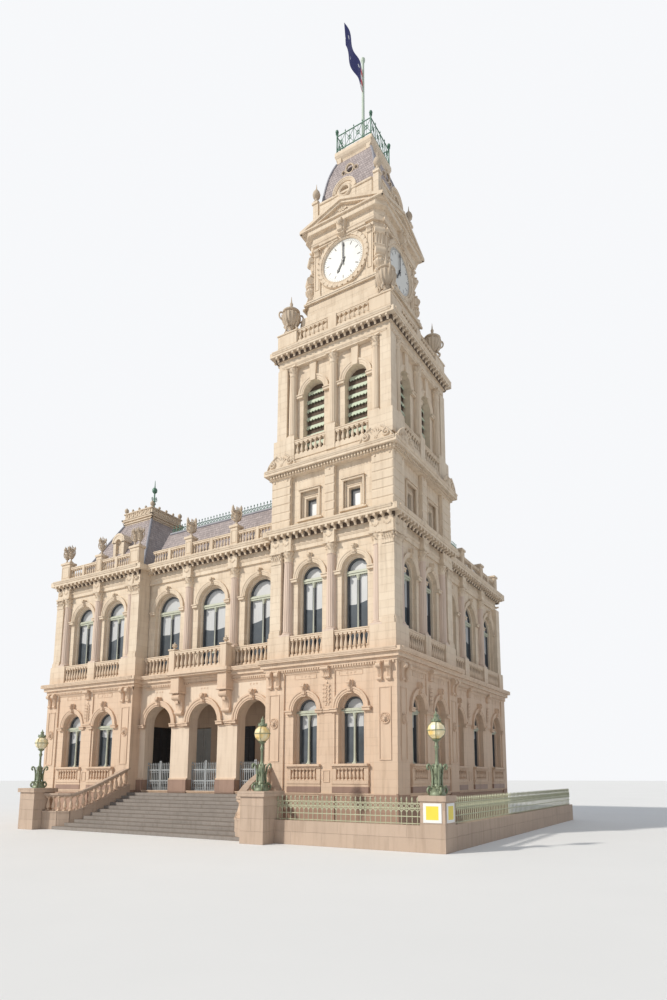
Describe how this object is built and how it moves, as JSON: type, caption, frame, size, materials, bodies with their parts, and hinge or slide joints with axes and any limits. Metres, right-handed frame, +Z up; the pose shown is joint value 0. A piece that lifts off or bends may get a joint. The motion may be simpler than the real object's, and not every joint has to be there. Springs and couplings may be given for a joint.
{
  "type": "1:2 scale model of a visitor centre with a clock tower",
  "caption": "Two-storey Second Empire style stone hall with arcaded entrance, slated pavilion roof and a tall corner clock tower with working gates and clock hands.",
  "frame": {"origin": "middle of the tower's base at street level", "axes": "+Z up, -Y outwards from the main front, +X outwards from the side front"},
  "size_m": [13.635, 10.63, 21.975],
  "materials": {
    "stone": "matte",
    "granite": "satin",
    "slate": "satin",
    "floor": "satin",
    "iron": "painted",
    "green_iron": "painted",
    "opal_glass": "gloss",
    "grey_timber": "painted",
    "glass": "gloss",
    "louvre": "painted",
    "dial": "satin",
    "hand": "painted",
    "door": "painted",
    "cloth": "matte"
  },
  "bodies": {
    "building": {"tower_ground_walls": "stone", "pavilion_ground_walls": "stone", "rear_ground_walls": "stone", "ground_cornice": "stone", "entrance_arcade": "stone", "loggia_wall": "stone", "tower_first_walls": "stone", "pavilion_first_walls": "stone", "centre_first_wall": "stone", "rear_first_walls": "stone", "main_cornice": "stone", "hinge_pins": "iron", "roof_vases": "stone", "attic_walls": "stone", "belfry_walls": "stone", "clock_stage": "stone", "tower_dome": "slate", "roof_crowns": "stone", "pavilion_roof": "slate", "main_roof": "slate", "floors": "floor", "columns": "stone", "balustrades": "stone", "parapets": "stone", "balcony": "stone", "stair_walls": "stone", "entrance_steps": "granite", "street_walls": "granite", "fence_panels": "iron", "lamp_standards": "green_iron", "lamp_globes": "opal_glass", "window_frames": "grey_timber", "window_glass": "glass", "louvres": "louvre", "clock_dials": "dial", "roof_ironwork": "green_iron", "flag": "cloth"},
    "minute_hand_front": {"minute_hand_front": "hand"},
    "hour_hand_front": {"hour_hand_front": "hand"},
    "minute_hand_side": {"minute_hand_side": "hand"},
    "hour_hand_side": {"hour_hand_side": "hand"},
    "minute_hand_back": {"minute_hand_back": "hand"},
    "hour_hand_back": {"hour_hand_back": "hand"},
    "minute_hand_left": {"minute_hand_left": "hand"},
    "hour_hand_left": {"hour_hand_left": "hand"},
    "gate_west_left": {"gate_west_left": "iron"},
    "gate_west_right": {"gate_west_right": "iron"},
    "gate_middle_left": {"gate_middle_left": "iron"},
    "gate_middle_right": {"gate_middle_right": "iron"},
    "gate_east_left": {"gate_east_left": "iron"},
    "gate_east_right": {"gate_east_right": "iron"},
    "door_left_a": {"door_left_a": "door"},
    "door_left_b": {"door_left_b": "door"},
    "door_right_a": {"door_right_a": "door"},
    "door_right_b": {"door_right_b": "door"}
  },
  "joints": [
    {"name": "minute_front_turn", "type": "hinge", "parent": "building", "child": "minute_hand_front", "pos_m": [0, -1.105, 14.5], "axis": [0, -1, 0], "continuous": true},
    {"name": "hour_front_turn", "type": "hinge", "parent": "building", "child": "hour_hand_front", "pos_m": [0, -1.105, 14.5], "axis": [0, -1, 0], "continuous": true},
    {"name": "minute_side_turn", "type": "hinge", "parent": "building", "child": "minute_hand_side", "pos_m": [1.105, 0, 14.5], "axis": [1, 0, 0], "continuous": true},
    {"name": "hour_side_turn", "type": "hinge", "parent": "building", "child": "hour_hand_side", "pos_m": [1.105, 0, 14.5], "axis": [1, 0, 0], "continuous": true},
    {"name": "minute_back_turn", "type": "hinge", "parent": "building", "child": "minute_hand_back", "pos_m": [0, 1.105, 14.5], "axis": [0, 1, 0], "continuous": true},
    {"name": "hour_back_turn", "type": "hinge", "parent": "building", "child": "hour_hand_back", "pos_m": [0, 1.105, 14.5], "axis": [0, 1, 0], "continuous": true},
    {"name": "minute_left_turn", "type": "hinge", "parent": "building", "child": "minute_hand_left", "pos_m": [-1.105, 0, 14.5], "axis": [-1, 0, 0], "continuous": true},
    {"name": "hour_left_turn", "type": "hinge", "parent": "building", "child": "hour_hand_left", "pos_m": [-1.105, 0, 14.5], "axis": [-1, 0, 0], "continuous": true},
    {"name": "gate_west_left_swing", "type": "hinge", "parent": "building", "child": "gate_west_left", "pos_m": [-6.043, -1.28, 0.869], "axis": [0, 0, 1], "range_deg": [0, 88]},
    {"name": "gate_west_right_swing", "type": "hinge", "parent": "building", "child": "gate_west_right", "pos_m": [-5.117, -1.28, 0.869], "axis": [0, 0, -1], "range_deg": [0, 88]},
    {"name": "gate_middle_left_swing", "type": "hinge", "parent": "building", "child": "gate_middle_left", "pos_m": [-4.423, -1.28, 0.869], "axis": [0, 0, 1], "range_deg": [0, 88]},
    {"name": "gate_middle_right_swing", "type": "hinge", "parent": "building", "child": "gate_middle_right", "pos_m": [-3.497, -1.28, 0.869], "axis": [0, 0, -1], "range_deg": [0, 88]},
    {"name": "gate_east_left_swing", "type": "hinge", "parent": "building", "child": "gate_east_left", "pos_m": [-2.803, -1.28, 0.869], "axis": [0, 0, 1], "range_deg": [0, 88]},
    {"name": "gate_east_right_swing", "type": "hinge", "parent": "building", "child": "gate_east_right", "pos_m": [-1.877, -1.28, 0.869], "axis": [0, 0, -1], "range_deg": [0, 88]},
    {"name": "door_left_a_swing", "type": "hinge", "parent": "building", "child": "door_left_a", "pos_m": [-5.962, 0.332, 0.869], "axis": [0, 0, 1], "range_deg": [0, 88]},
    {"name": "door_left_b_swing", "type": "hinge", "parent": "building", "child": "door_left_b", "pos_m": [-5.198, 0.332, 0.869], "axis": [0, 0, -1], "range_deg": [0, 88]},
    {"name": "door_right_a_swing", "type": "hinge", "parent": "building", "child": "door_right_a", "pos_m": [-2.722, 0.332, 0.869], "axis": [0, 0, 1], "range_deg": [0, 88]},
    {"name": "door_right_b_swing", "type": "hinge", "parent": "building", "child": "door_right_b", "pos_m": [-1.958, 0.332, 0.869], "axis": [0, 0, -1], "range_deg": [0, 88]}
  ],
  "couplings": [
    {"joint": "hour_front_turn", "follows": "minute_front_turn", "ratio": 0.083333},
    {"joint": "minute_side_turn", "follows": "minute_front_turn", "ratio": 1},
    {"joint": "hour_side_turn", "follows": "minute_front_turn", "ratio": 0.083333},
    {"joint": "minute_back_turn", "follows": "minute_front_turn", "ratio": 1},
    {"joint": "hour_back_turn", "follows": "minute_front_turn", "ratio": 0.083333},
    {"joint": "minute_left_turn", "follows": "minute_front_turn", "ratio": 1},
    {"joint": "hour_left_turn", "follows": "minute_front_turn", "ratio": 0.083333}
  ]
}
